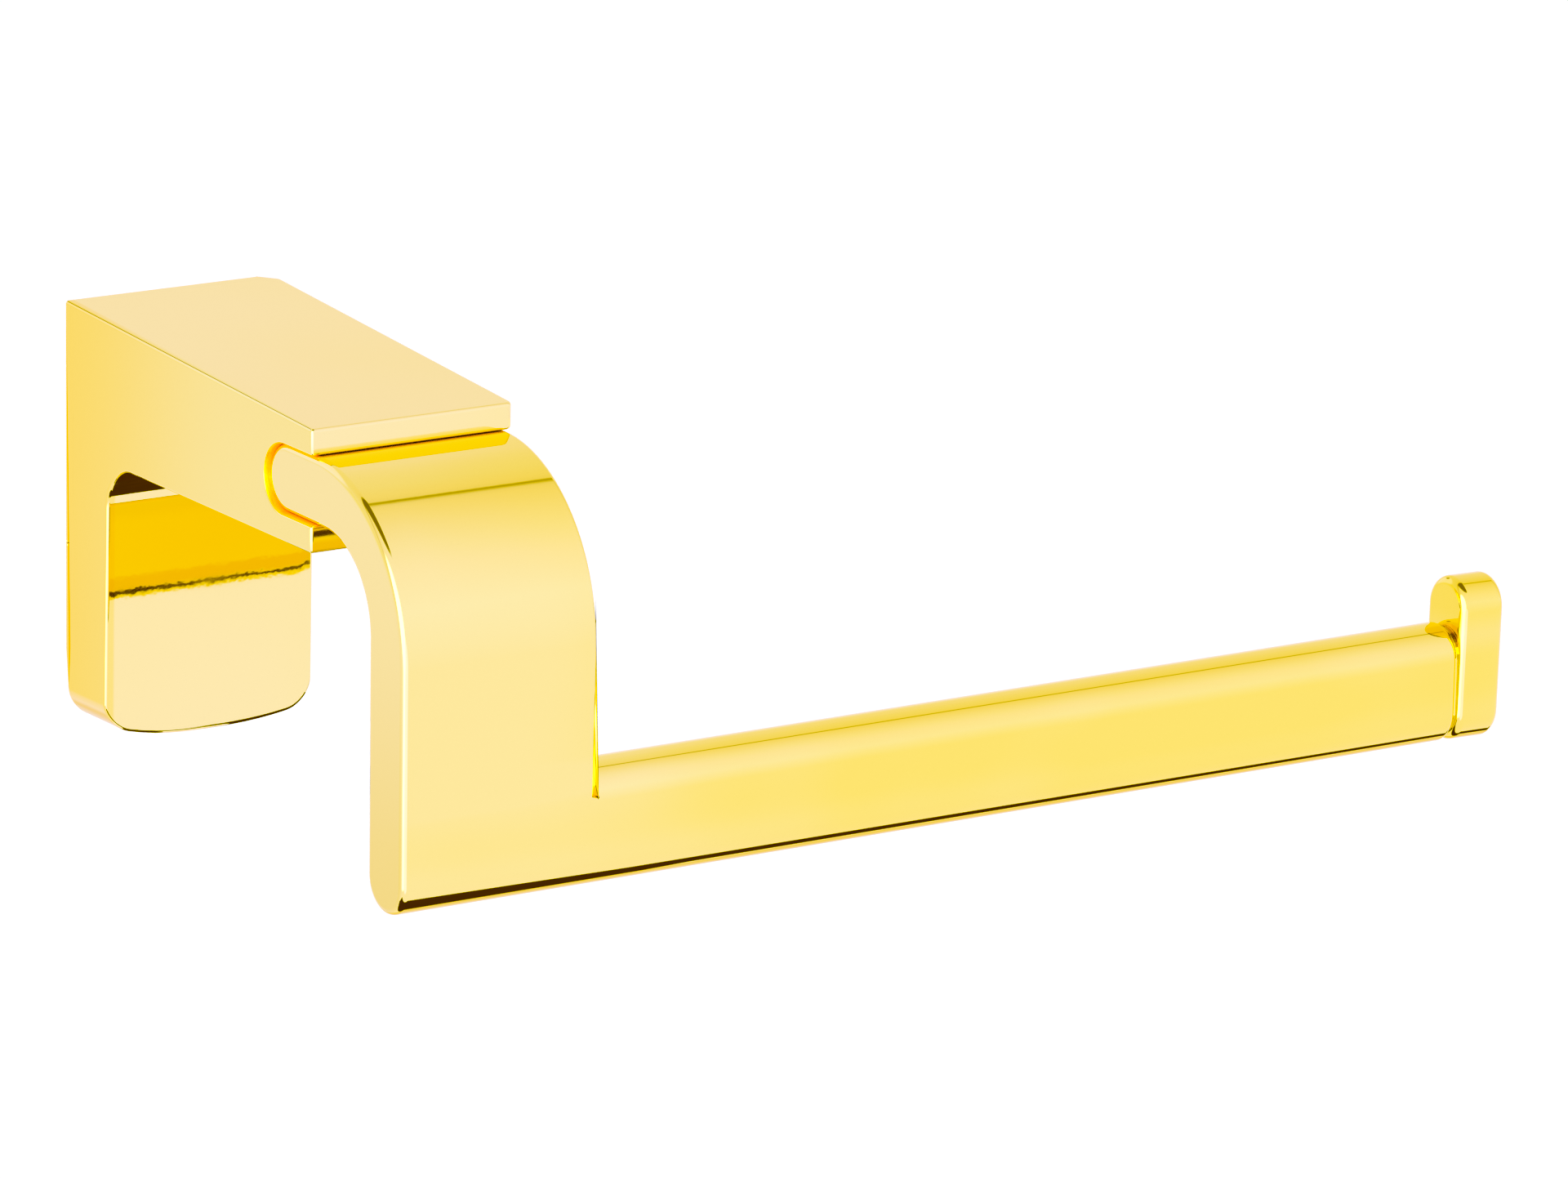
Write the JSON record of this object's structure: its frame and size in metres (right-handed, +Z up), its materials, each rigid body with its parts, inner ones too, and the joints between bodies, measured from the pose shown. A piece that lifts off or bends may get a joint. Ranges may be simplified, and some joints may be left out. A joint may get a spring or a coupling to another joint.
{
  "type": "toilet paper holder",
  "caption": "Open-ended wall toilet paper holder in polished gold plating: slotted bracket, bent strap and flat bar with a raised end stop, over a hidden wall plate.",
  "frame": {"origin": "on the wall plane, at the middle of the concealed wall plate's back face", "axes": "+X along the bar towards its open end, +Y into the wall (the room is at -Y), +Z up"},
  "size_m": [0.1586, 0.0794, 0.0574],
  "materials": {
    "gold_plate": "mirror-polished gold plating",
    "zinc_plated_steel": "zinc-plated pressed steel, satin",
    "stainless_steel": "turned stainless steel",
    "black_oxide_steel": "black oxide, satin"
  },
  "bodies": {
    "fixed_holder": {"wall_bracket": "gold_plate", "holder_arm": "gold_plate", "end_stop": "gold_plate", "wall_plate": "zinc_plated_steel", "arm_screw_left": "black_oxide_steel", "arm_screw_right": "black_oxide_steel", "arm_washer_left": "stainless_steel", "arm_washer_right": "stainless_steel", "end_stop_stud": "stainless_steel", "end_stop_dowel": "stainless_steel"},
    "backing_out_screw": {"set_screw": "stainless_steel"}
  },
  "joints": [
    {"name": "set_screw_travel", "type": "slide", "parent": "fixed_holder", "child": "backing_out_screw", "axis": [0, 0, -1], "range_m": [0, 0.004]}
  ]
}
